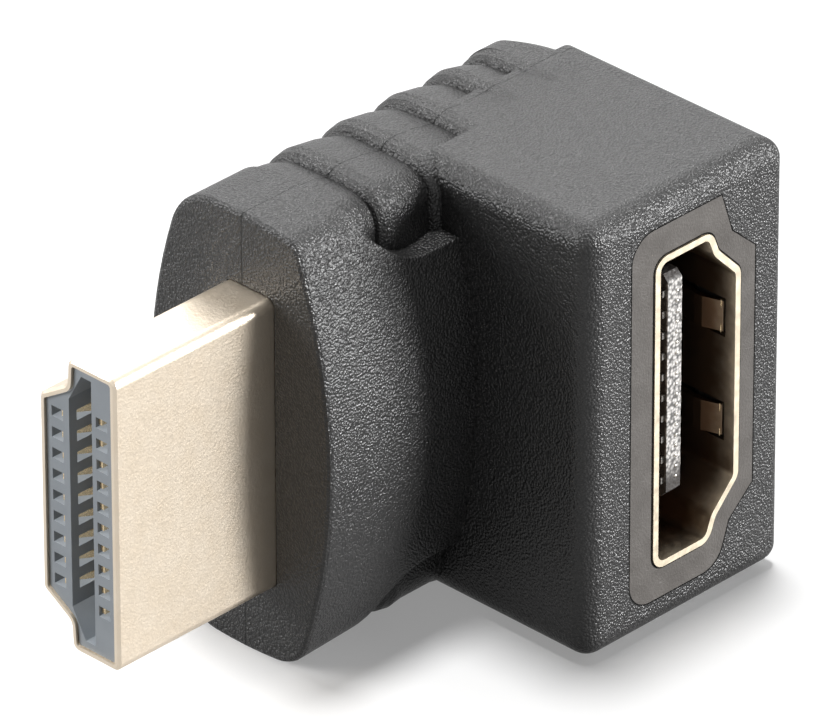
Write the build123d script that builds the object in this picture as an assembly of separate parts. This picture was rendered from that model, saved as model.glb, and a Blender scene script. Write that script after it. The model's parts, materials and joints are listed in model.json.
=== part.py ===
from build123d import *
from math import sqrt
import os

# A right angle audio-video adapter: a flat plug leaves the boot along -Y, and a
# matching socket opens along +X in a block at the other end of the boot.
# Lengths are millimetres. While the pieces are drawn, x = 0 is the middle of the
# plug's thickness, y = 0 is the boot's front face and z = 0 is half the plug's width.

# Fits between pieces, and how far a cutting tool runs past what it cuts
fit_gap = 0.04
mould_gap = 0.03
easy_gap = 0.2
solder_gap = 0.01
weld_lap = 0.1
overcut = 1.0

# Connector face, the same form for plug and socket
plug_width = 13.9
plug_thick = 4.45
plug_step = 1.3
plug_slope = 1.0
plug_step_depth = 0.55
plug_lean = 0.08
plug_reach = 9.1
plug_root = 3.0
plug_sheet = 0.28
plug_corner = 0.42
tip_bevel = 0.12
row_margin = 2.45
wide_row = 10
narrow_row = 9
pitch = (plug_width - 2 * row_margin) / (wide_row - 1)

# Plug insulator and contacts
insulator_setback = 0.12
insulator_short = 0.3
cavity_depth = 6.6
cavity_wide_x = 0.72
cavity_narrow_x = 0.6
cavity_wide_wall = 0.65
cavity_narrow_wall = 2.0
cavity_shoulder_x = 0.15
slot_inner_x = 0.96
slot_outer_x = 1.62
slot_height = 0.5
slot_bridge = 0.55
contact_width = 0.3
contact_thick = 0.18
contact_rest_x = 1.34
contact_tip_x = 1.08
contact_rise_x = 1.06
contact_crest_x = 0.6
contact_heel_x = 1.1
contact_tip_y = 0.15
contact_rise_y = 0.75
contact_crest_y = 1.45
contact_heel_y = 3.0
tail_bend_y = 0.2
tail_seat_y = 0.6
tail_end_y = 1.9
latch_window_length = 2.2
latch_window_height = 1.6
latch_window_z = 2.6
latch_window_from_tip = 3.6

# Block that holds the socket
block_face = 11.8
block_front = 8.6
block_depth = 11.7
block_round = 1.0
block_back_round = 0.5
crown_over_block = 0.1
rib_reach = 2.15

# Leg, the boot that carries the plug and runs along the block's back
leg_length = block_front + block_depth
leg_end_wall = 3.48
leg_half = plug_width / 2 + leg_end_wall
block_half = leg_half - crown_over_block
leg_right = 5.42
leg_left = 5.15
leg_bow = 27.0
crown_bow = 22.0
leg_corner = 1.5
leg_left_corner = 2.6
leg_lower_extra = 1.1
leg_front_corner = 0.9
front_edge = 0.2
front_edge_steps = (0.0, 0.3, 1.0)
leg_drop = 0.12
neck_step_right = 1.77
neck_step_left = 0.07
neck_right = leg_right - neck_step_right
neck_left = leg_left - neck_step_left
neck_bow = 200.0
back_round = 6.2
back_rim = 2.3
back_margin = 0.3

# Ribs: each groove has a steep wall behind it and a gentle fall before it
grooves = (5.0, 8.15, 11.25, 14.1, 16.4)
groove_depth = 0.36
lip_length = 0.85
lip_steps = (0.0, 0.1, 0.4, 1.0)
fall_steps = (0.55, 1.0)
fall_power = 1.6
witness_step = 0.05
recess_skin = 0.1
web_depth = 0.08
web_start_x = 1.0

# Smooth panels on the leg's sides, with a scoop beside the block
panel_drop = 3.08
panel_half = leg_half - panel_drop
scoop_start = 3.4
scoop_start_rise = 2.35
scoop_mid = 4.7
scoop_mid_rise = 0.9
scoop_floor = 6.8
scoop_pitch = 1.5
bulge_edge = 0.12
bulge_lap = 0.5

# Socket shell, in the block's face
socket_clear = 0.225
socket_sheet = 0.3
socket_width = plug_width + 2 * (socket_clear + socket_sheet)
socket_thick = 5.15
socket_step = 1.075
socket_slope = 1.4
socket_step_depth = 0.8
socket_lean = 0.42
socket_corner = 0.7
socket_rear = 1.7
socket_proud = 0.06
socket_from_back = 5.22
socket_y = leg_length - socket_from_back
finger_width = 1.45
finger_z = 2.5
finger_setback = 0.7
finger_length = 4.2
finger_dip = 0.32
finger_flat = 0.4
finger_hook = 0.9
finger_foot = 0.5
finger_thin = 0.08
finger_clear = 0.2
finger_tip = block_face - finger_setback
finger_root = finger_tip - finger_length
anchor_width = 1.2
anchor_below = 0.5
anchor_shift = 0.68
anchor_y = socket_y - anchor_shift

# Collar, the smooth ring around the socket's mouth
collar_front_rim = 1.355
collar_back_rim = 0.92
collar_end_rim = 1.45
collar_front = socket_y - socket_thick / 2 - collar_front_rim
collar_back = socket_y + socket_thick / 2 + collar_back_rim
collar_half = socket_width / 2 + collar_end_rim
collar_shoulder = 1.42
collar_waist_rise = 0.65
collar_waist_fall = 1.95
collar_back_fall = 1.27
collar_corner = 0.6
collar_front_corner = 1.25

# Cavity of the jacket and the inner mould that fills it
front_wall = 1.6
core_right_wall = 0.65
core_left_wall = 2.25
core_back_wall = 1.6
core_end_wall = 1.93
core_right = neck_right - core_right_wall
core_left = leg_left - core_left_wall
core_half = leg_half - core_end_wall
core_back = leg_length - core_back_wall
core_corner = 0.8
well_ledge = 0.1
well_depth = 2.5

# Socket insulator and contacts
tongue_setback = 1.2
tongue_front = block_face - tongue_setback
tongue_half_thick = 0.42
tongue_offset = 0.06
tongue_end = 0.85
tongue_half = (wide_row - 1) / 2 * pitch + tongue_end
tongue_bevel = 0.3
base_front = 3.0
base_rear = 0.72
channel_height = 0.45
blade_thick = 0.16
blade_setback = 0.14
foot_reach = 0.75
foot_length = 2.2

# Circuit board, upright in the middle of the leg
board_thick = 0.8
board_gap = 0.05
board_back_gap = 0.3
board_end_gap = 0.5
board_front = plug_root + board_gap
board_back = core_back - board_back_gap
board_half = core_half - board_end_gap
tail_pocket = 0.6
tail_pocket_half = 1.75


def wide_centres():
    return [(i - (wide_row - 1) / 2) * pitch for i in range(wide_row)]


def narrow_centres():
    return [(i - (narrow_row - 1) / 2) * pitch for i in range(narrow_row)]


def connector_outline(plane, width, step, slope, thick, step_depth, lean, corner, inset=0.0):
    """A wide side, a short step inwards and two slopes to the narrow side."""
    wide = thick / 2
    wide_half = width / 2
    step_half = wide_half - step
    narrow_half = step_half - slope
    with BuildSketch(plane) as face:
        with BuildLine():
            Polyline(
                (wide, -wide_half),
                (wide, wide_half),
                (-step_depth, wide_half),
                (-step_depth - lean, step_half),
                (-wide, narrow_half),
                (-wide, -narrow_half),
                (-step_depth - lean, -step_half),
                (-step_depth, -wide_half),
                close=True,
            )
        make_face()
        fillet(face.vertices(), corner)
        if inset:
            offset(amount=-inset)
    return face.sketch


def plug_outline(y, inset=0.0):
    return connector_outline(
        Plane.XZ.offset(-y), plug_width, plug_step, plug_slope,
        plug_thick, plug_step_depth, plug_lean, plug_corner, inset,
    )


def socket_plane(x):
    return Plane(origin=(x, socket_y, 0), x_dir=(0, -1, 0), z_dir=(1, 0, 0))


def socket_outline(x, inset=0.0):
    return connector_outline(
        socket_plane(x), socket_width, socket_step, socket_slope,
        socket_thick, socket_step_depth, socket_lean, socket_corner, inset,
    )


def block(x0, x1, y0, y1, z0, z1):
    return Pos((x0 + x1) / 2, (y0 + y1) / 2, (z0 + z1) / 2) * Box(x1 - x0, y1 - y0, z1 - z0)


# Leg


def crown_corner(reach, bow, half):
    """Where a side's arc, of radius bow, meets the crown's arc, as its x and z."""
    side_centre = reach - bow
    crown_centre = half - crown_bow
    apart = sqrt(side_centre**2 + crown_centre**2)
    along = (bow**2 - crown_bow**2 + apart**2) / (2 * apart)
    across = sqrt(bow**2 - along**2)
    x = side_centre - (along * side_centre + across * crown_centre) / apart
    return x, (along * crown_centre - across * side_centre) / apart


def leg_section(
    y, depth=0.0, right=leg_right, left=leg_left, bow=leg_bow, corner=leg_corner, extra=0.0
):
    """The leg's section at y, sunk by depth all round; extra softens its lower right corner."""
    half = leg_half - depth
    right_x, right_z = crown_corner(right - depth, bow, half)
    left_x, left_z = crown_corner(left - depth, leg_bow, half)
    with BuildSketch(Plane.XZ.offset(-y)) as face:
        with BuildLine():
            ThreePointArc((right_x, -right_z), (right - depth, 0), (right_x, right_z))
            ThreePointArc((right_x, right_z), (0, half), (-left_x, left_z))
            ThreePointArc((-left_x, left_z), (-left + depth, 0), (-left_x, -left_z))
            ThreePointArc((-left_x, -left_z), (0, -half), (right_x, -right_z))
        make_face()
        fillet(face.vertices().filter_by(lambda v: v.X > 0 and v.Y > 0), corner - depth / 2)
        lower = face.vertices().filter_by(lambda v: v.X > 0 and v.Y < 0)
        fillet(lower, corner + extra - depth / 2)
        fillet(face.vertices().filter_by(lambda v: v.X < solder_gap - left_x), leg_left_corner)
    return face.sketch


def neck_section(y, depth=0.0, left=neck_left):
    return leg_section(y, depth, neck_right, left, neck_bow)


def quarter_round(start, length, depth, steps):
    """A rise along a quarter of an ellipse, as (y, depth) pairs."""
    return [(start + step * length, depth * (1 - sqrt(1 - (1 - step) ** 2))) for step in steps]


def lip_stations(start):
    """The steep rise behind a groove."""
    return quarter_round(start, lip_length, groove_depth, lip_steps)


def fall_stations(start, end):
    """The gentle fall to the next groove, as (y, depth) pairs."""
    return [
        (start + (end - start) * step, groove_depth * step**fall_power) for step in fall_steps
    ]


def neck_loft(stations):
    return loft([neck_section(y, depth) for y, depth in stations], ruled=True)


def rib(start, end):
    """One scale of the ribbed neck, from a groove to the next."""
    return neck_loft(lip_stations(start) + fall_stations(start + lip_length, end))


def first_rib():
    """The smooth front of the neck, which falls to the first groove."""
    root = (scoop_start - weld_lap, witness_step)
    return neck_loft([root] + fall_stations(scoop_start, grooves[0]))


def tail():
    """The smooth rear of the leg."""
    smooth_from = grooves[-1] + lip_length
    run = extrude(neck_section(smooth_from, left=leg_left), -(leg_length - smooth_from))
    return neck_loft(lip_stations(grooves[-1])) + run


def rear_envelope():
    """What the neck is trimmed to: the back corner is round in plan, with a soft rim."""
    high = leg_half + weld_lap
    left = -leg_left - back_margin
    with BuildSketch(Plane.XY.offset(-high)) as plan:
        with BuildLine():
            Polyline(
                (neck_right, scoop_start - overcut),
                (neck_right, leg_length),
                (left, leg_length),
                (left, scoop_start - overcut),
                close=True,
            )
        make_face()
        fillet(plan.vertices().sort_by_distance((left, leg_length))[0], back_round)
    prism = extrude(plan.sketch, 2 * high)
    rims = prism.edges().filter_by(lambda e: abs(e.center().Z) > high - solder_gap)
    rims = rims.filter_by(lambda e: e.center().Y > leg_length - back_round)
    return fillet(rims, back_rim)


def scoop_edge(sign):
    """Upper edge of the bulge in the YZ plane: a curve that levels out at the block."""
    return Spline(
        [
            (scoop_start, sign * (panel_half + scoop_start_rise)),
            (scoop_mid, sign * (panel_half + scoop_mid_rise)),
            (scoop_floor, sign * panel_half),
        ],
        tangents=[(1, -sign * scoop_pitch), (1, 0)],
    )


def side_panel(front, end, reach):
    """Outline in YZ that is pulled along X to cut the smooth panels from the full section."""
    full = leg_half + overcut
    with BuildSketch(Plane.YZ) as face:
        with BuildLine():
            top = scoop_edge(1)
            Line((scoop_floor, panel_half), (end, panel_half))
            Line((end, panel_half), (end, -panel_half))
            Line((end, -panel_half), (scoop_floor, -panel_half))
            low = scoop_edge(-1)
            Polyline(
                low @ 0,
                (scoop_start, -full),
                (front, -full),
                (front, full),
                (scoop_start, full),
                top @ 0,
            )
        make_face()
    return extrude(face.sketch, reach)


def barrel():
    """The full section: the boot's front all round, and its bulge between the scoops."""
    end = block_front + bulge_lap
    rim = [
        leg_section(y, depth, corner=leg_front_corner, extra=leg_lower_extra)
        for y, depth in quarter_round(0, front_edge, front_edge, front_edge_steps)
    ]
    rest = [leg_section(y, extra=leg_lower_extra) for y in (scoop_start, end)]
    run = loft(rim + rest, ruled=True)
    right = side_panel(-overcut, end + overcut, leg_right + overcut)
    left = side_panel(-overcut, end + overcut, -leg_left - overcut)
    piece = run & (right + left)
    rims = piece.edges().filter_by(
        lambda e: e.center().X > neck_right
        and panel_half - fit_gap < abs(e.center().Z) < leg_half - leg_corner
        and scoop_start + easy_gap < e.center().Y < block_front
    )
    return fillet(rims, bulge_edge)


def left_panel():
    """Smooth barrel panel on the far side, along the rest of the leg."""
    start = block_front
    length = grooves[-1] + lip_length - start
    run = extrude(leg_section(start), -length)
    return run & block(-leg_left, 0, start, leg_length, -panel_half, panel_half)


def underside_web():
    """Smooth corner under the neck, where only the first groove runs through."""
    start = grooves[0] + lip_length
    end = block_front + overcut
    run = extrude(neck_section(start, web_depth), -(end - start))
    return run & block(web_start_x, leg_right, start, end, -leg_half, -panel_half)


def socket_block():
    piece = block(0, block_face, block_front, leg_length, -block_half, block_half)
    rims = piece.edges().filter_by(lambda e: e.center().X > solder_gap)
    back_rim = rims.filter_by(Axis.Z).sort_by(Axis.Y)[-1]
    middle = back_rim.center()
    piece = fillet([rim for rim in rims if rim is not back_rim], block_round)
    back_rim = piece.edges().filter_by(Axis.Z).sort_by_distance(middle)[0]
    piece = fillet(back_rim, block_back_round)
    under = leg_half - groove_depth - recess_skin
    recess_end = grooves[2] + lip_length
    for low, high in ((under, leg_half), (-leg_half, -under)):
        piece -= block(-overcut, rib_reach, block_front - overcut, recess_end, low, high)
    return piece


def leg_outside():
    neck = first_rib()
    for start, end in zip(grooves, grooves[1:]):
        neck += rib(start, end)
    neck = (neck + tail() + left_panel()) & rear_envelope()
    whole = barrel() + neck + underside_web() + socket_block()
    return Pos(0, 0, -leg_drop) * whole


# Collar and inner mould


def collar_outline(x, grow=0.0):
    shoulder = socket_y + collar_shoulder
    waist = shoulder + collar_waist_rise
    waist_half = collar_half - collar_waist_fall
    back_half = waist_half - collar_back_fall
    with BuildSketch(Plane.YZ.offset(x)) as face:
        with BuildLine():
            Polyline(
                (collar_front, -collar_half),
                (collar_front, collar_half),
                (shoulder, collar_half),
                (waist, waist_half),
                (collar_back, back_half),
                (collar_back, -back_half),
                (waist, -waist_half),
                (shoulder, -collar_half),
                close=True,
            )
        make_face()
        corners = face.vertices().sort_by(Axis.Y)
        fillet(corners[:2], collar_front_corner)
        fillet(corners[2:], collar_corner)
        if grow:
            offset(amount=grow)
    return face.sketch


def core_body(grow=0.0):
    """What fills the jacket: an upright core in the leg and a stub behind the collar."""
    stem = block(
        -core_left - grow, core_right + grow, front_wall - grow, core_back + grow,
        -core_half - grow, core_half + grow,
    )
    stem = fillet(stem.edges().filter_by(Axis.Y), core_corner)
    well_half = collar_half - well_ledge
    well = block(
        0, block_face - well_depth, collar_front + well_ledge - grow, collar_back - well_ledge + grow,
        -well_half - grow, well_half + grow,
    )
    return stem + fillet(well.edges().filter_by(Axis.X), core_corner)


def jacket():
    piece = leg_outside() - core_body(mould_gap)
    piece -= extrude(plug_outline(-overcut, -mould_gap), -(front_wall + 2 * overcut))
    floor = block_face - well_depth - weld_lap
    return piece - extrude(collar_outline(floor, mould_gap), well_depth + overcut)


def collar():
    back = block_face - well_depth + mould_gap
    ring = extrude(collar_outline(back), block_face - back)
    return ring - extrude(socket_outline(back - overcut, -fit_gap), well_depth + 2 * overcut)


def inner_mould():
    piece = core_body()
    piece -= extrude(plug_outline(0, -fit_gap), -(plug_root + fit_gap))
    piece -= extrude(socket_outline(board_thick / 2, -fit_gap), block_face)
    piece -= block(
        -board_thick / 2 - fit_gap, board_thick / 2 + fit_gap, board_front - easy_gap,
        board_back + fit_gap, -board_half - fit_gap, board_half + fit_gap,
    )
    tail_half = (wide_row * pitch) / 2 + easy_gap
    piece -= block(
        -tail_pocket_half, tail_pocket_half, plug_root - tail_pocket,
        plug_root + tail_end_y + easy_gap, -tail_half, tail_half,
    )
    foot_span = socket_thick / 2 + foot_reach
    piece -= block(
        board_thick / 2, base_rear + blade_thick + easy_gap, socket_y - foot_span,
        socket_y + foot_span, -tail_half, tail_half,
    )
    for side in (-1, 1):
        piece -= anchor(side, easy_gap)
    return piece


# Plug


def plug_shell():
    length = plug_reach + plug_root
    tube = extrude(plug_outline(-plug_reach), -length)
    rim = tube.faces().sort_by(Axis.Y)[0].edges()
    tube = chamfer(rim, tip_bevel)
    tube -= extrude(plug_outline(-plug_reach - overcut, plug_sheet), -(length + 2 * overcut))
    window_y = -plug_reach + latch_window_from_tip
    for z in (-latch_window_z, latch_window_z):
        tube -= block(
            -plug_thick, -plug_thick / 2 + plug_sheet + solder_gap, window_y,
            window_y + latch_window_length, z - latch_window_height / 2, z + latch_window_height / 2,
        )
    return tube


def plug_cavity():
    front = -plug_reach
    wide_half = plug_width / 2 - cavity_wide_wall
    narrow_half = plug_width / 2 - cavity_narrow_wall
    with BuildSketch(Plane.XZ.offset(-front + overcut)) as face:
        with BuildLine():
            Polyline(
                (cavity_wide_x, -wide_half),
                (cavity_wide_x, wide_half),
                (cavity_shoulder_x, wide_half),
                (-cavity_narrow_x, narrow_half),
                (-cavity_narrow_x, -narrow_half),
                (cavity_shoulder_x, -wide_half),
                close=True,
            )
        make_face()
    return extrude(face.sketch, -(cavity_depth + overcut))


def plug_slot(side, z):
    """A contact's slot: a hole from end to end, open to the cavity behind a small bridge."""
    front = -plug_reach
    low, high = z - slot_height / 2, z + slot_height / 2
    near, far = sorted((side * slot_inner_x, side * slot_outer_x))
    hole = block(near, far, front - overcut, plug_root + overcut, low, high)
    near, far = sorted((0, side * (slot_inner_x + weld_lap)))
    return hole + block(near, far, front + slot_bridge, front + cavity_depth, low, high)


def plug_insulator():
    front = -plug_reach + insulator_setback
    length = plug_root - insulator_short - front
    body = extrude(plug_outline(front, plug_sheet + fit_gap), -length)
    slots = [plug_slot(1, z) for z in wide_centres()] + [plug_slot(-1, z) for z in narrow_centres()]
    return body - plug_cavity() - slots


def bent_strip(plane, points, width, thick):
    """A flat strip bent along the given line, its width across the plane."""
    with BuildSketch(plane) as face:
        with BuildLine() as path:
            Polyline(*points)
        trace(path.line, thick)
    return extrude(face.sketch, width / 2, both=True)


def plug_contact(side, z):
    """A spring that arches into the cavity, with a tail soldered to the board."""
    front = -plug_reach + insulator_setback
    seat = board_thick / 2 + contact_thick / 2 + solder_gap
    points = [
        (contact_tip_x, front + contact_tip_y),
        (contact_rise_x, front + contact_rise_y),
        (contact_crest_x, front + contact_crest_y),
        (contact_heel_x, front + contact_heel_y),
        (contact_rest_x, front + cavity_depth),
        (contact_rest_x, plug_root - tail_bend_y),
        (seat, plug_root + tail_seat_y),
        (seat, plug_root + tail_end_y),
    ]
    path = [(side * x, y) for x, y in points]
    return bent_strip(Plane.XY.offset(z), path, contact_width, contact_thick)


# Circuit board


def circuit_board():
    board = block(
        -board_thick / 2, board_thick / 2, board_front, board_back, -board_half, board_half
    )
    for side in (-1, 1):
        board -= anchor(side, easy_gap / 2)
    return board


# Socket


def anchor(side, grow=0.0):
    """A tab of the socket shell's end wall that passes through the board."""
    z = side * (socket_width / 2 - socket_sheet / 2)
    half = socket_sheet / 2 + grow
    return block(
        -board_thick / 2 - anchor_below - grow, socket_rear + weld_lap,
        anchor_y - anchor_width / 2 - grow, anchor_y + anchor_width / 2 + grow, z - half, z + half,
    )


def spring_finger(z):
    """A tongue of the narrow wall that dips towards the plug near its tip."""
    wall = socket_y + socket_thick / 2 - socket_sheet / 2
    dip = wall - finger_dip
    points = [
        (finger_root - weld_lap, wall),
        (finger_root + finger_foot, wall),
        (finger_tip - finger_hook - finger_flat, dip),
        (finger_tip - finger_hook, dip),
        (finger_tip, wall),
    ]
    return bent_strip(Plane.XY.offset(z), points, finger_width, socket_sheet - finger_thin)


def socket_shell():
    length = block_face + socket_proud - socket_rear
    tube = extrude(socket_outline(socket_rear), length)
    tube -= extrude(socket_outline(socket_rear - overcut, socket_sheet), length + 2 * overcut)
    wall = socket_y + socket_thick / 2
    half = finger_width / 2 + finger_clear
    for z in (-finger_z, finger_z):
        tube -= block(
            finger_root, finger_tip + finger_clear, wall - overcut, wall + overcut, z - half, z + half,
        )
        tube += spring_finger(z)
    return tube + anchor(-1) + anchor(1)


def socket_insulator():
    inset = socket_sheet + fit_gap
    body = extrude(socket_outline(base_rear, inset), base_front - base_rear)
    middle = socket_y - tongue_offset
    tongue = block(
        base_front - weld_lap, tongue_front, middle - tongue_half_thick, middle + tongue_half_thick,
        -tongue_half, tongue_half,
    )
    nose = tongue.edges().filter_by(Axis.Y).sort_by(Axis.X)[-2:]
    body += chamfer(nose, tongue_bevel)
    channel = tongue_half_thick + blade_thick
    half = channel_height / 2
    for side, centres in ((-1, wide_centres()), (1, narrow_centres())):
        low, high = sorted((middle, middle + side * (channel + fit_gap)))
        for z in centres:
            body -= block(-overcut, base_front, low, high, z - half, z + half)
    return body


def socket_contact(side, z):
    """A flat blade on one face of the tongue, with a foot on the board."""
    middle = socket_y - tongue_offset
    face = middle + side * (tongue_half_thick + blade_thick / 2 + solder_gap)
    foot = board_thick / 2 + blade_thick / 2 + solder_gap
    points = [(tongue_front - blade_setback, face), (foot, face), (foot, face + side * foot_length)]
    return bent_strip(Plane.XY.offset(z), points, contact_width, blade_thick)


def pieces():
    made = {
        "overmould_jacket": jacket(),
        "inner_mould": inner_mould(),
        "socket_collar": collar(),
        "plug_shell": plug_shell(),
        "plug_insulator": plug_insulator(),
        "circuit_board": circuit_board(),
        "socket_shell": socket_shell(),
        "socket_insulator": socket_insulator(),
    }
    for row, side, centres in (("wide", 1, wide_centres()), ("narrow", -1, narrow_centres())):
        for number, z in enumerate(centres, 1):
            made[f"plug_contact_{row}_{number:02d}"] = plug_contact(side, z)
            made[f"socket_contact_{row}_{number:02d}"] = socket_contact(-side, z)
    return made


# The origin moves to the middle of the footprint, on the resting face
made = pieces()
shape = made["overmould_jacket"].bounding_box()
shift = Pos(
    -(shape.min.X + shape.max.X + socket_proud) / 2,
    -(shape.max.Y - plug_reach) / 2,
    -shape.min.Z,
)
os.makedirs("parts", exist_ok=True)
for name, piece in made.items():
    export_step(shift * piece, f"parts/{name}.step")
    print(name, len(piece.solids()), round(piece.volume, 2))
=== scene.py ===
import json
import math
import bpy
import bmesh
from mathutils import Matrix, Vector

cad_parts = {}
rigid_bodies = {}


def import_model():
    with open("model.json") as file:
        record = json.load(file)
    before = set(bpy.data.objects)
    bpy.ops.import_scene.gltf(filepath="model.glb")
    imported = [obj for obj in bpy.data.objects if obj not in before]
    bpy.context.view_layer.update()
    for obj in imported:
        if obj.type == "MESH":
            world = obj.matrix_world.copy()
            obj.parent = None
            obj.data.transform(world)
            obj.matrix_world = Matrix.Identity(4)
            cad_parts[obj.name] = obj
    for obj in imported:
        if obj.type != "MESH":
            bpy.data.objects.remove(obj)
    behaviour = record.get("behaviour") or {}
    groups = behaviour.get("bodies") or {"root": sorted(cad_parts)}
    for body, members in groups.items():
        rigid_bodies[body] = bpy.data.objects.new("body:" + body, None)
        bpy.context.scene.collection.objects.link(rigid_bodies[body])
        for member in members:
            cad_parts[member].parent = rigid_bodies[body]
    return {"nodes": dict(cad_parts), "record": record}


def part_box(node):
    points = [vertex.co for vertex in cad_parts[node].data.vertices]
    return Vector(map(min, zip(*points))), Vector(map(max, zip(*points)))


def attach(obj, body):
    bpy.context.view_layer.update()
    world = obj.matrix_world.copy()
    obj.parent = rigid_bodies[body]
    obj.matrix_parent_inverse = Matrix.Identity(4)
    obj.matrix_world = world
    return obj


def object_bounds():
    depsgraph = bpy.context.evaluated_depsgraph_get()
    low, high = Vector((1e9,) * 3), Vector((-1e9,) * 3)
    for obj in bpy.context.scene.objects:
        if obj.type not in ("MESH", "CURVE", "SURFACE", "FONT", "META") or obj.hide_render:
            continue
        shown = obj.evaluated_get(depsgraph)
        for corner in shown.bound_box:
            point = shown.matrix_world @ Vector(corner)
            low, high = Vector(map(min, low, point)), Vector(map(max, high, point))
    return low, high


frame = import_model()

# Right angle video adapter: the CAD pieces get their finishes here, and the
# small things that only the eye needs are added round them.

mm = 0.001
nodes = frame["nodes"]
cadLow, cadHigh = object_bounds()
collarLow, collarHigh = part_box("socket_collar")
socketLow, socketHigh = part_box("socket_shell")
socketMiddle = (socketLow.z + socketHigh.z) / 2
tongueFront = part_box("socket_insulator")[1].x
print("frame loaded,", len(nodes), "CAD pieces")


# Material helpers

noiseSpread = (0.3, 0.7)      # most values of a noise field lie between these


def startMaterial(name):
    material = bpy.data.materials.new(name)
    material.use_nodes = True
    tree = material.node_tree
    tree.nodes.clear()
    output = tree.nodes.new("ShaderNodeOutputMaterial")
    shader = tree.nodes.new("ShaderNodeBsdfPrincipled")
    tree.links.new(shader.outputs["BSDF"], output.inputs["Surface"])
    return material, tree, shader


def objectPoint(tree):
    return tree.nodes.new("ShaderNodeTexCoord").outputs["Object"]


def alongAxis(tree, point, axis):
    split = tree.nodes.new("ShaderNodeSeparateXYZ")
    tree.links.new(point, split.inputs["Vector"])
    return split.outputs[axis]


def noiseField(tree, point, size, detail=3):
    noise = tree.nodes.new("ShaderNodeTexNoise")
    noise.inputs["Scale"].default_value = 1 / size
    noise.inputs["Detail"].default_value = detail
    tree.links.new(point, noise.inputs["Vector"])
    return noise.outputs["Fac"]


def cellField(tree, point, size, smooth):
    # 0 in the middle of each cell, rising towards its neighbours
    cells = tree.nodes.new("ShaderNodeTexVoronoi")
    cells.feature = "SMOOTH_F1"
    cells.inputs["Scale"].default_value = 1 / size
    cells.inputs["Smoothness"].default_value = smooth
    tree.links.new(point, cells.inputs["Vector"])
    return cells.outputs["Distance"]


def mapRange(tree, value, low, high, outLow, outHigh):
    ramp = tree.nodes.new("ShaderNodeMapRange")
    ramp.inputs["From Min"].default_value = low
    ramp.inputs["From Max"].default_value = high
    ramp.inputs["To Min"].default_value = outLow
    ramp.inputs["To Max"].default_value = outHigh
    tree.links.new(value, ramp.inputs["Value"])
    return ramp.outputs["Result"]


def mathNode(tree, operation, first, second):
    # each value is a number or another node's output
    node = tree.nodes.new("ShaderNodeMath")
    node.operation = operation
    for socket, value in zip(node.inputs, (first, second)):
        if isinstance(value, (int, float)):
            socket.default_value = value
        else:
            tree.links.new(value, socket)
    return node.outputs["Value"]


def blendColour(tree, factor, dark, pale):
    # each colour is three numbers or another blend
    mix = tree.nodes.new("ShaderNodeMix")
    mix.data_type = "RGBA"
    for name, colour in (("A", dark), ("B", pale)):
        if isinstance(colour, tuple):
            mix.inputs[name].default_value = (*colour, 1)
        else:
            tree.links.new(colour, mix.inputs[name])
    tree.links.new(factor, mix.inputs["Factor"])
    return mix.outputs["Result"]


def addBump(tree, shader, height, distance):
    bump = tree.nodes.new("ShaderNodeBump")
    bump.inputs["Distance"].default_value = distance
    tree.links.new(height, bump.inputs["Height"])
    tree.links.new(bump.outputs["Normal"], shader.inputs["Normal"])


def paintShader(tree, shader, colour, rough):
    tree.links.new(colour, shader.inputs["Base Color"])
    tree.links.new(rough, shader.inputs["Roughness"])


# Jacket: black moulded plastic with a pebbled spark-eroded grain

jacketLook = {
    "dark": (0.011, 0.011, 0.011),
    "pale": (0.031, 0.030, 0.030),
    "pebbleSize": 0.112 * mm,
    "pebbleSmooth": 0.25,
    "pebbleHeight": 0.050 * mm,
    "pebbleSpread": (0.1, 0.7),      # from a pebble's top to the valley round it
    "fineSize": 0.05 * mm,
    "fineShare": 0.30,
    "rough": (0.19, 0.42),
    "specular": 0.45,
    "seamX": -2.95 * mm,             # plane of the parting line
    "seamWidth": 0.045 * mm,
    "seamDepth": 0.045 * mm,
}


def hairLine(tree, value, centre, width):
    # 1 on the line, falling to 0 a width away
    away = mathNode(tree, "ABSOLUTE", mathNode(tree, "SUBTRACT", value, centre), 0)
    return mapRange(tree, away, 0, width, 1, 0)


def makePebbledPlastic():
    look = jacketLook
    material, tree, shader = startMaterial("pebbledBlackPlastic")
    point = objectPoint(tree)
    valleys = cellField(tree, point, look["pebbleSize"], look["pebbleSmooth"])
    fine = noiseField(tree, point, look["fineSize"])
    grain = mathNode(tree, "SUBTRACT", mathNode(tree, "MULTIPLY", fine, look["fineShare"]), valleys)
    # the parting line, where the mould's halves met
    seam = hairLine(tree, alongAxis(tree, point, "X"), look["seamX"], look["seamWidth"])
    groove = mathNode(tree, "MULTIPLY", seam, look["seamDepth"] / look["pebbleHeight"])
    addBump(tree, shader, mathNode(tree, "SUBTRACT", grain, groove), look["pebbleHeight"])
    peaks = mathNode(tree, "SUBTRACT", mapRange(tree, valleys, *look["pebbleSpread"], 1, 0), seam)
    colour = blendColour(tree, peaks, look["dark"], look["pale"])
    rough = mapRange(tree, valleys, *look["pebbleSpread"], *look["rough"])
    paintShader(tree, shader, colour, rough)
    shader.inputs["Specular IOR Level"].default_value = look["specular"]
    return material


# Collar and the plastics inside: smoother mouldings

collarLook = {
    "dark": (0.050, 0.045, 0.041),
    "pale": (0.078, 0.071, 0.065),
    "patchSize": 1.1 * mm,
    "rough": (0.32, 0.46),
    "grainSize": 0.11 * mm,
    "grainHeight": 0.024 * mm,
}

slateLook = {
    "dark": (0.195, 0.215, 0.236),
    "pale": (0.260, 0.282, 0.303),
    "patchSize": 1.1 * mm,
    "rough": (0.42, 0.56),
    "grainSize": 0.10 * mm,
    "grainHeight": 0.005 * mm,
}

innerLook = {
    "dark": (0.008, 0.007, 0.007),
    "pale": (0.016, 0.014, 0.013),
    "patchSize": 1.1 * mm,
    "rough": (0.36, 0.5),
    "grainSize": 0.12 * mm,
    "grainHeight": 0.004 * mm,
}


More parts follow.
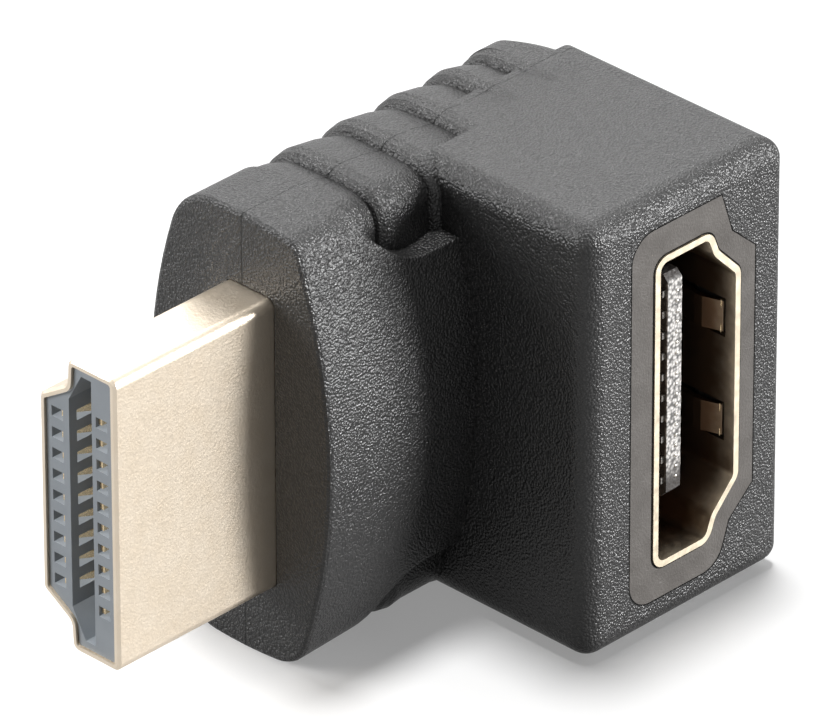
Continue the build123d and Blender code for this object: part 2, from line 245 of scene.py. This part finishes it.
def makeSmoothPlastic(name, look):
    material, tree, shader = startMaterial(name)
    point = objectPoint(tree)
    addBump(tree, shader, noiseField(tree, point, look["grainSize"], detail=4), look["grainHeight"])
    patches = noiseField(tree, point, look["patchSize"])
    colour = blendColour(tree, patches, look["dark"], look["pale"])
    paintShader(tree, shader, colour, mapRange(tree, patches, *noiseSpread, *look["rough"]))
    return material


# Grooves: painted shade for what little light gets into a parting gap

grooveLook = {
    "dark": (0.002, 0.002, 0.002),
    "pale": (0.008, 0.008, 0.008),
    "mottleSize": 0.2 * mm,
    "mottleHeight": 0.01 * mm,
    "rough": (0.8, 1),
    "specular": 0.05,
}


def makeGrooveShade():
    look = grooveLook
    material, tree, shader = startMaterial("groovePaintedShade")
    mottle = noiseField(tree, objectPoint(tree), look["mottleSize"])
    colour = blendColour(tree, mottle, look["dark"], look["pale"])
    paintShader(tree, shader, colour, mapRange(tree, mottle, *noiseSpread, *look["rough"]))
    addBump(tree, shader, mottle, look["mottleHeight"])
    shader.inputs["Specular IOR Level"].default_value = look["specular"]
    return material


# Shells and contacts: plated metal

goldLook = {
    "deep": (0.79, 0.67, 0.52),
    "bright": (0.87, 0.77, 0.64),
    "rough": (0.30, 0.42),
    "grainSize": 0.13 * mm,
    "grainHeight": 0.005 * mm,
}

contactGoldLook = {
    "deep": (0.78, 0.58, 0.34),
    "bright": (0.92, 0.76, 0.50),
    "rough": (0.20, 0.30),
    "grainSize": 0.20 * mm,
    "grainHeight": 0.002 * mm,
}

contactTinLook = {
    "deep": (0.50, 0.48, 0.45),
    "bright": (0.70, 0.68, 0.64),
    "rough": (0.24, 0.36),
    "grainSize": 0.20 * mm,
    "grainHeight": 0.002 * mm,
}

plating = {                   # the same on every plated piece
    "grainSmooth": 0.8,
    "fineRatio": 0.4,         # size of the fine grain to that of the coarse
    "patchSize": 0.9 * mm,
}


def makePlatedMetal(name, look):
    material, tree, shader = startMaterial(name)
    point = objectPoint(tree)
    speckle = cellField(tree, point, look["grainSize"], plating["grainSmooth"])
    fine = noiseField(tree, point, look["grainSize"] * plating["fineRatio"])
    addBump(tree, shader, mathNode(tree, "ADD", speckle, fine), look["grainHeight"])
    patches = noiseField(tree, point, plating["patchSize"], detail=4)
    colour = blendColour(tree, patches, look["deep"], look["bright"])
    paintShader(tree, shader, colour, mapRange(tree, fine, *noiseSpread, *look["rough"]))
    shader.inputs["Metallic"].default_value = 1
    return material


# Socket: its gold is bright at the mouth, and painted shade darkens it to brown further in

socketGoldLook = {
    "mouth": (1.0, 0.88, 0.68),
    # painted shade: the dark brown deep inside the socket
    "deep": (0.17, 0.105, 0.066),
    "shadeStartDepth": 0.065 * mm,      # depths in from the socket's front edge, where the painted shade starts and where it is full
    "fullShadeDepth": 1.505 * mm,
    "shadeFadePower": 2.2,
    "patchSize": 0.8 * mm,
    "patchShift": 0.18 * mm,       # how far the patches move the painted shade's edge in and out
    "rough": (0.32, 0.42),
    "grainSize": 0.30 * mm,
    "grainHeight": 0.002 * mm,
}


def makeSocketGold():
    look = socketGoldLook
    material, tree, shader = startMaterial("socketGoldPaintedShade")
    point = objectPoint(tree)
    patches = noiseField(tree, point, look["patchSize"])
    shift = mapRange(tree, patches, *noiseSpread, -look["patchShift"], look["patchShift"])
    place = mathNode(tree, "ADD", alongAxis(tree, point, "X"), shift)
    fullShadeX = socketHigh.x - look["fullShadeDepth"]
    shadeStartX = socketHigh.x - look["shadeStartDepth"]
    # painted shade: the gold fades from bright at the mouth to dark brown deeper in
    bright = mathNode(tree, "POWER", mapRange(tree, place, fullShadeX, shadeStartX, 0, 1), look["shadeFadePower"])
    fine = noiseField(tree, point, look["grainSize"])
    addBump(tree, shader, fine, look["grainHeight"])
    colour = blendColour(tree, bright, look["deep"], look["mouth"])
    paintShader(tree, shader, colour, mapRange(tree, fine, *noiseSpread, *look["rough"]))
    shader.inputs["Metallic"].default_value = 1
    return material


# Tongue: black moulding with a painted highlight along its front edge, faded out by painted shade at its
# lower end

tongueLook = {
    "body": (0.034, 0.031, 0.030),
    "edgeDark": (0.07, 0.068, 0.066),
    "highlightPale": (0.50, 0.485, 0.47),
    # painted highlight: the pale colour of the lit front edge
    "edgeDepth": 0.12 * mm,
    # painted shade: the highlight fades out downwards between these heights
    "shadeFadeZ": (6.0 * mm, 7.0 * mm),
    "speckSize": 0.15 * mm,
    "speckSmooth": 0.5,
    "speckSpread": (0.2, 0.7),
    "speckHeight": 0.020 * mm,
    "rough": (0.34, 0.5),
}


def makeTonguePlastic():
    look = tongueLook
    material, tree, shader = startMaterial("tonguePaintedHighlight")
    point = objectPoint(tree)
    specks = cellField(tree, point, look["speckSize"], look["speckSmooth"])
    front = mapRange(tree, alongAxis(tree, point, "X"), tongueFront - look["edgeDepth"], tongueFront, 0, 1)
    height = mapRange(tree, alongAxis(tree, point, "Z"), *look["shadeFadeZ"], 0, 1)
    # painted highlight on the front edge, cut off by painted shade towards the lower end
    paintedHighlight = mathNode(tree, "MULTIPLY", front, height)
    tops = mapRange(tree, specks, *look["speckSpread"], 1, 0)
    edge = blendColour(tree, tops, look["edgeDark"], look["highlightPale"])
    colour = blendColour(tree, paintedHighlight, look["body"], edge)
    paintShader(tree, shader, colour, mapRange(tree, specks, *look["speckSpread"], *look["rough"]))
    addBump(tree, shader, specks, look["speckHeight"])
    return material


# Circuit board: green lacquer over glass weave

boardLook = {
    "dark": (0.004, 0.045, 0.016),
    "pale": (0.010, 0.095, 0.034),
    "patchSize": 0.8 * mm,
    "rough": (0.28, 0.4),
    "weaveSize": 0.35 * mm,
    "weaveHeight": 0.004 * mm,
    "weaveWarp": 1.5,
    "unitWave": 0.3,      # in metres, about how often a wave texture of scale 1 repeats
}


def makeBoardLacquer():
    look = boardLook
    material, tree, shader = startMaterial("boardLacquer")
    point = objectPoint(tree)
    weave = tree.nodes.new("ShaderNodeTexWave")
    weave.inputs["Scale"].default_value = look["unitWave"] / look["weaveSize"]
    weave.inputs["Distortion"].default_value = look["weaveWarp"]
    tree.links.new(point, weave.inputs["Vector"])
    patches = noiseField(tree, point, look["patchSize"])
    colour = blendColour(tree, patches, look["dark"], look["pale"])
    paintShader(tree, shader, colour, mapRange(tree, patches, *noiseSpread, *look["rough"]))
    addBump(tree, shader, weave.outputs["Fac"], look["weaveHeight"])
    return material


finishes = {
    "jacket_black": makePebbledPlastic(),
    "collar_grey": makeSmoothPlastic("smoothCollarPlastic", collarLook),
    "inner_black": makeSmoothPlastic("innerMouldPlastic", innerLook),
    "insulator_slate": makeSmoothPlastic("slatePlastic", slateLook),
    "insulator_black": makeTonguePlastic(),
    "shell_gold": makePlatedMetal("satinGoldPlate", goldLook),
    "contact_gold": makePlatedMetal("brightGoldPlate", contactGoldLook),
    "contact_silver": makePlatedMetal("brightTinPlate", contactTinLook),
    "board_green": makeBoardLacquer(),
}
byNode = {"socket_shell": makeSocketGold()}      # finishes for one piece alone
groovePaintedShade = makeGrooveShade()
print("finishes made:", len(bpy.data.materials))


# Every CAD piece takes its finish by its slot, with smooth shading up to a crease

creaseAngle = math.radians(32)
softEdges = {
    "widths": {"socket_shell": 0.10 * mm, "plug_shell": 0.06 * mm},
    "segments": 2,
    "leastTurn": math.radians(50),      # edges that turn less than this stay as they are
}


def shadeByCrease(mesh):
    for face in mesh.polygons:
        face.use_smooth = True
    mesh.set_sharp_from_angle(angle=creaseAngle)


def softenEdges(piece, width):
    soft = piece.modifiers.new("softEdge", "BEVEL")
    soft.width = width
    soft.segments = softEdges["segments"]
    soft.limit_method = "ANGLE"
    soft.angle_limit = softEdges["leastTurn"]


def dressNode(name, slotName):
    piece = nodes[name]
    piece.data.materials.clear()
    piece.data.materials.append(byNode.get(name, finishes[slotName]))
    shadeByCrease(piece.data)
    if name in softEdges["widths"]:
        softenEdges(piece, softEdges["widths"][name])


for entry in frame["record"]["subparts"]:
    dressNode(entry["node"], entry["material_slot"])
print("CAD pieces dressed")


def addPiece(name, verts, faces, material):
    mesh = bpy.data.meshes.new(name)
    mesh.from_pydata(verts, [], faces)
    mesh.materials.append(material)
    piece = bpy.data.objects.new(name, mesh)
    bpy.context.scene.collection.objects.link(piece)
    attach(piece, "root")
    return piece


# Beads: small rounded bright spots, each an ellipsoid half sunk in what carries it

beadSpec = {"around": 12, "rings": 8}      # steps round a bead, and from its upper to its lower pole


def beadPoint(ring, step):
    down = math.pi * ring / beadSpec["rings"]
    turn = 2 * math.pi * step / beadSpec["around"]
    return math.sin(down) * math.cos(turn), math.sin(down) * math.sin(turn), math.cos(down)


def unitBead():
    around, rings = beadSpec["around"], beadSpec["rings"]
    middle = [beadPoint(ring, step) for ring in range(1, rings) for step in range(around)]
    points = [(0, 0, 1), *middle, (0, 0, -1)]
    faces = []
    for step in range(around):
        left = [1 + around * ring + step for ring in range(rings - 1)]
        right = [1 + around * ring + (step + 1) % around for ring in range(rings - 1)]
        faces.append((0, left[0], right[0]))
        faces += list(zip(left, left[1:], right[1:], right))
        faces.append((left[-1], len(points) - 1, right[-1]))
    return points, faces


def makeBeads(name, centres, radii, slotName):
    points, faces = unitBead()
    verts = [
        [middle + part * radius for middle, part, radius in zip(centre, point, radii)]
        for centre in centres
        for point in points
    ]
    starts = range(0, len(verts), len(points))
    allFaces = [[start + index for index in face] for start in starts for face in faces]
    beads = addPiece(name, verts, allFaces, finishes[slotName])
    shadeByCrease(beads.data)


# Contact ends: the rows' tips show as small bright studs along the tongue's front edge

studSpec = {
    "count": 19,
    "pitch": 0.4972 * mm,
    "y": 9.56 * mm,
    "radii": (0.06 * mm, 0.09 * mm, 0.09 * mm),
}


def makeContactStuds():
    spec = studSpec
    steps = [number - (spec["count"] - 1) / 2 for number in range(spec["count"])]
    centres = [(tongueFront, spec["y"], socketMiddle + step * spec["pitch"]) for step in steps]
    makeBeads("contactStuds", centres, spec["radii"], "contact_silver")


# Spring fingers: the corners of their tips are polished bright by the plug

fingerSpec = {
    "tipX": 7.70 * mm,
    "wallY": 11.74 * mm,
    "offset": 2.5 * mm,      # from the socket's middle to the middle of a finger
    "halfWidth": 0.60 * mm,
    "radii": (0.04 * mm, 0.04 * mm, 0.20 * mm),
}


def makeFingerTips():
    spec = fingerSpec
    centres = [
        (spec["tipX"], spec["wallY"], socketMiddle + finger * spec["offset"] + side * spec["halfWidth"])
        for finger in (-1, 1)
        for side in (-1, 1)
    ]
    makeBeads("fingerTips", centres, spec["radii"], "contact_gold")


makeContactStuds()
makeFingerTips()
print("contact ends and finger tips added")


# Collar: its corner by the block's top is rounded over, and dark sheets of painted shade stand for the
# gaps along both its outlines

collarSpec = {
    "corner": (collarLow.y, collarHigh.z),      # y and z of the corner to round
    "cornerReach": 0.02 * mm,                   # a point this near to it counts as the corner
    "cornerRadius": 1.25 * mm,
    "cornerSteps": 10,
    "cover": 0.05 * mm,                         # how far the rounded corner reaches over the jacket
    "depth": 0.05 * mm,
    "lift": 0.006 * mm,                         # how far it stands out of the collar
    "gapLift": 0.0078 * mm,                     # the sheets of painted shade for the gaps lie just in front of it
    "gapWidths": (0.055 * mm, 0.05 * mm),       # outer outline, inner outline
    "facing": 0.99,                             # least x in the normal of a face that looks forward
    "flatness": 0.001 * mm,                     # a point this near to the front lies on it
}


def frontOutlines(piece):
    # how far forward a piece reaches, and the closed outlines of its face there, the highest first
    shape = bmesh.new()
    shape.from_mesh(piece.data)
    shape.transform(piece.matrix_world)
    front = max(vert.co.x for vert in shape.verts)
    rim = {}
    for edge in shape.edges:
        forward = [face for face in edge.link_faces if face.normal.x > collarSpec["facing"]]
        if len(forward) == 1 and all(front - vert.co.x < collarSpec["flatness"] for vert in edge.verts):
            for vert in edge.verts:
                rim.setdefault(vert.index, []).append(edge.other_vert(vert).index)
    points = {vert.index: (vert.co.y, vert.co.z) for vert in shape.verts}
    shape.free()
    outlines = []
    while rim:
        here = next(iter(rim))
        loop = []
        while here in rim:
            loop.append(here)
            onward = [other for other in rim.pop(here) if other in rim]
            here = onward[0] if onward else None
        outlines.append([points[index] for index in loop])
    outlines.sort(key=lambda outline: -max(z for y, z in outline))
    return front, outlines


def cornerArc():
    y, z = collarSpec["corner"]
    radius = collarSpec["cornerRadius"]
    steps = collarSpec["cornerSteps"]
    turns = [math.pi / 2 * (1 + i / steps) for i in range(steps + 1)]
    return [(y + radius + radius * math.cos(t), z - radius + radius * math.sin(t)) for t in turns]


def roundCorner(outline):
    # the outline with its sharp corner exchanged for the arc
    y, z = collarSpec["corner"]
    kept = [math.hypot(point[0] - y, point[1] - z) > collarSpec["cornerReach"] for point in outline]
    place = kept.index(False)
    before = outline[place - 1]
    arc = cornerArc()
    if abs(before[0] - y) < abs(before[1] - z):
        arc.reverse()      # the outline comes up the left side
    return outline[:place] + arc + outline[place + 1:]


def widerOutline(outline, width):
    # each point moved out by the width, square to the line between its neighbours
    area = sum(p[0] * q[1] - q[0] * p[1] for p, q in zip(outline, outline[1:] + outline[:1]))
    side = 1 if area > 0 else -1
    wider = []
    for before, here, after in zip(outline[-1:] + outline[:-1], outline, outline[1:] + outline[:1]):
        along = Vector((after[0] - before[0], after[1] - before[1])).normalized()
        wider.append((here[0] + side * along.y * width, here[1] - side * along.x * width))
    return wider


def makeCollarOutlines():
    front, outlines = frontOutlines(nodes["socket_collar"])
    outlines[0] = roundCorner(outlines[0])
    x = front + collarSpec["gapLift"]
    # painted shade: a flat dark sheet along each outline stands for the shadow in its gap
    for name, outline, width in zip(("collarGapPaintedShade", "rimGapPaintedShade"), outlines, collarSpec["gapWidths"]):
        count = len(outline)
        verts = [(x, *point) for point in outline + widerOutline(outline, width)]
        faces = [(i, (i + 1) % count, count + (i + 1) % count, count + i) for i in range(count)]
        addPiece(name, verts, faces, groovePaintedShade)


def makeRoundedCorner():
    y, z = collarSpec["corner"]
    over = collarSpec["cover"]
    arc = cornerArc()
    outline = [(arc[0][0], z + over), *arc, (y - over, arc[-1][1]), (y - over, z + over)]
    front = collarHigh.x + collarSpec["lift"]
    count = len(outline)
    verts = [(front, *point) for point in outline]
    verts += [(front - collarSpec["depth"], *point) for point in outline]
    faces = [tuple(range(count)), tuple(reversed(range(count, 2 * count)))]
    faces += [(i, count + i, count + (i + 1) % count, (i + 1) % count) for i in range(count)]
    addPiece("collarCorner", verts, faces, finishes["jacket_black"])


makeCollarOutlines()
makeRoundedCorner()
print("collar's corner and gaps added")


# Studio: pale floor, soft lamps, and the photograph's viewing angle

studio = {
    "floorSize": 3.0,
    "floorColour": (0.67, 0.67, 0.67),
    "floorBounce": (0.32, 0.32, 0.32),       # what the object sees of the floor
    "floorRough": 0.9,
    "floorSpecular": 0,
    "floorLift": 0.26,                       # glow for the camera, reflections and clear things
    "surround": 0.10,                        # the world's light on matt surfaces
    "backdrop": 1.0,                         # the world as the camera and reflections see it
    "aim": (0, 0, 10 * mm),
    "lamps": {
        "sheenSoftbox": {"from": (-0.54, 0.55, 0.46), "size": 1.0, "watts": 3.9},
        "overheadSoftbox": {"from": (-0.06, 0.06, 0.83), "size": 0.18, "watts": 6.7},
        "rightSoftbox": {"from": (0.48, 0.34, 0.12), "size": 0.22, "watts": 8.8},
        "leftFill": {"from": (-0.45, -0.42, 0.22), "size": 0.35, "watts": 4.6},
    },
}

cameraSpec = {
    "azimuth": 44.38,
    "elevation": 30.69,
    "roll": -0.14,
    "distance": 493.2 * mm,
    "target": (1.635 * mm, -0.37 * mm, 13.59 * mm),
    "lens": 524.3,
    "clip": (0.01, 10),
}

cameraRays = ["Is Camera Ray"]
shownRays = ["Is Camera Ray", "Is Glossy Ray", "Is Transmission Ray"]


def pathSwitch(tree, names):
    # 1 for the given kinds of ray, else 0
    path = tree.nodes.new("ShaderNodeLightPath")
    total = path.outputs[names[0]]
    for name in names[1:]:
        total = mathNode(tree, "MAXIMUM", total, path.outputs[name])
    return total


def makePaper():
    material, tree, shader = startMaterial("palePaper")
    shader.inputs["Roughness"].default_value = studio["floorRough"]
    shader.inputs["Specular IOR Level"].default_value = studio["floorSpecular"]
    shader.inputs["Emission Color"].default_value = (1, 1, 1, 1)
    seen = pathSwitch(tree, cameraRays)
    paper = blendColour(tree, seen, studio["floorBounce"], studio["floorColour"])
    tree.links.new(paper, shader.inputs["Base Color"])
    lift = mathNode(tree, "MULTIPLY", pathSwitch(tree, shownRays), studio["floorLift"])
    tree.links.new(lift, shader.inputs["Emission Strength"])
    return material


def makeFloor():
    mesh = bpy.data.meshes.new("paperFloor")
    half = studio["floorSize"] / 2
    low = cadLow.z
    corners = [(-half, -half, low), (half, -half, low), (half, half, low), (-half, half, low)]
    mesh.from_pydata(corners, [], [(0, 1, 2, 3)])
    mesh.materials.append(makePaper())
    floor = bpy.data.objects.new("paperFloor", mesh)
    bpy.context.scene.collection.objects.link(floor)


def makeWorld():
    world = bpy.data.worlds.new("studioWorld")
    bpy.context.scene.world = world
    world.use_nodes = True
    tree = world.node_tree
    tree.nodes.clear()
    output = tree.nodes.new("ShaderNodeOutputWorld")
    surround = tree.nodes.new("ShaderNodeBackground")
    shown = pathSwitch(tree, shownRays)
    strength = mapRange(tree, shown, 0, 1, studio["surround"], studio["backdrop"])
    tree.links.new(strength, surround.inputs["Strength"])
    tree.links.new(surround.outputs["Background"], output.inputs["Surface"])


def addLamp(name, spec):
    light = bpy.data.lights.new(name, "AREA")
    light.shape = "DISK"
    light.size = spec["size"]
    light.energy = spec["watts"]
    lamp = bpy.data.objects.new(name, light)
    lamp.location = spec["from"]
    aim = Vector(studio["aim"]) - lamp.location
    lamp.rotation_euler = aim.to_track_quat("-Z", "Y").to_euler()
    bpy.context.scene.collection.objects.link(lamp)
    return lamp


def blockOnlyWith(lamp, names):
    # the lamp's light is stopped by these pieces alone
    blockers = bpy.data.collections.new(lamp.name + "Blockers")
    for name in names:
        blockers.objects.link(nodes[name])
    lamp.light_linking.blocker_collection = blockers


def keepOffFloor(lamp):
    # the lamp lights the adapter alone
    receivers = bpy.data.collections.new(lamp.name + "Receivers")
    for piece in bpy.context.scene.objects:
        if piece.type == "MESH" and piece.name != "paperFloor":
            receivers.objects.link(piece)
    lamp.light_linking.receiver_collection = receivers


def makeCamera():
    spec = cameraSpec
    azimuth = math.radians(spec["azimuth"])
    elevation = math.radians(spec["elevation"])
    back = Vector((
        math.sin(azimuth) * math.cos(elevation),
        -math.cos(azimuth) * math.cos(elevation),
        math.sin(elevation),
    ))
    data = bpy.data.cameras.new("productCamera")
    data.lens = spec["lens"]
    data.clip_start, data.clip_end = spec["clip"]
    camera = bpy.data.objects.new("productCamera", data)
    camera.location = Vector(spec["target"]) + back * spec["distance"]
    turn = (-back).to_track_quat("-Z", "Y")
    turn.rotate(Matrix.Rotation(math.radians(spec["roll"]), 3, back))
    camera.rotation_mode = "QUATERNION"
    camera.rotation_quaternion = turn
    bpy.context.scene.collection.objects.link(camera)
    bpy.context.scene.camera = camera


makeFloor()
makeWorld()
lamps = {name: addLamp(name, spec) for name, spec in studio["lamps"].items()}
blockOnlyWith(lamps["overheadSoftbox"], ["overmould_jacket", "socket_collar", "inner_mould"])
keepOffFloor(lamps["rightSoftbox"])
makeCamera()
bpy.context.scene.view_settings.view_transform = "Standard"
print("studio ready")

print("done")
